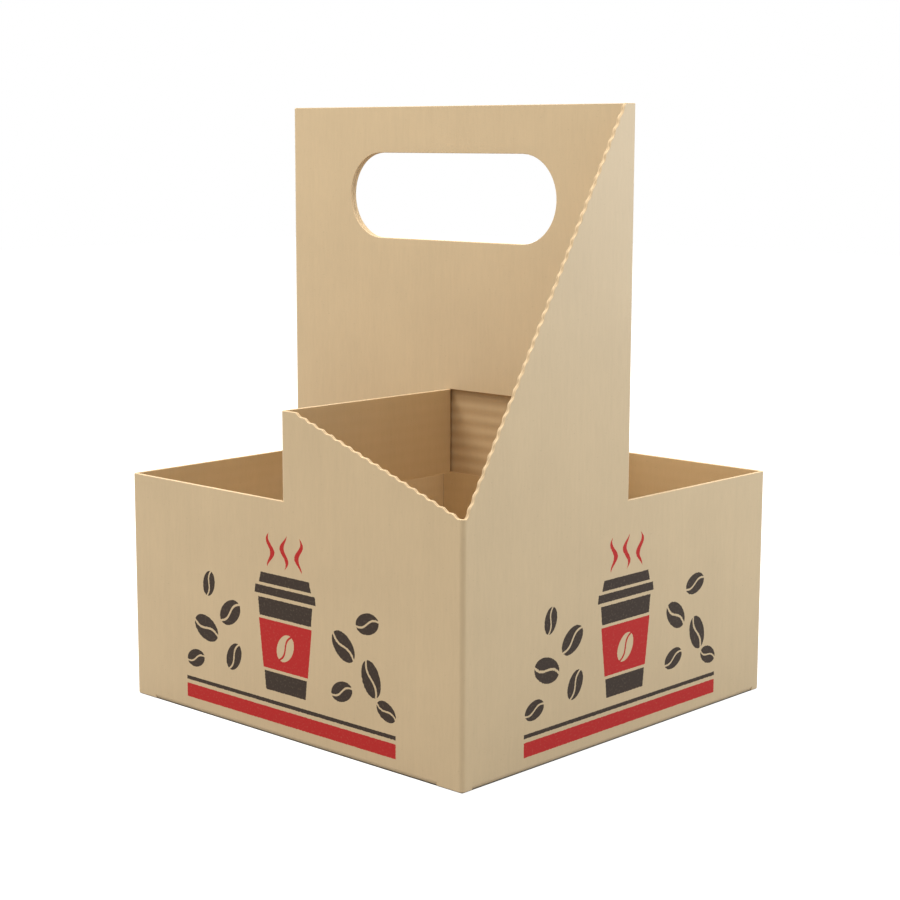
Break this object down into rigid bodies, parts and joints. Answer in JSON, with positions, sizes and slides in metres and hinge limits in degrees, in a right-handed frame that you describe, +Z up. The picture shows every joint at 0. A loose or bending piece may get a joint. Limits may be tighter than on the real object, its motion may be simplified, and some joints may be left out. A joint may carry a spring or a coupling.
{
  "type": "cup carrier",
  "caption": "Open tray folded from a single corrugated sheet, with partition strips between its cells, an upright glued handle with a hand hole, and a self-locking base.",
  "frame": {"origin": "centre of the underside of the square tray", "axes": "+Z up; the handle lies along Y and its hand hole goes through along X; the walls at -Y and +Y rise to the handle, the walls at -X and +X rise to the partition strips"},
  "size_m": [0.19, 0.19, 0.2488],
  "materials": {
    "board": "matt kraft paper"
  },
  "bodies": {
    "root": {"carrier": "board"}
  },
  "joints": []
}
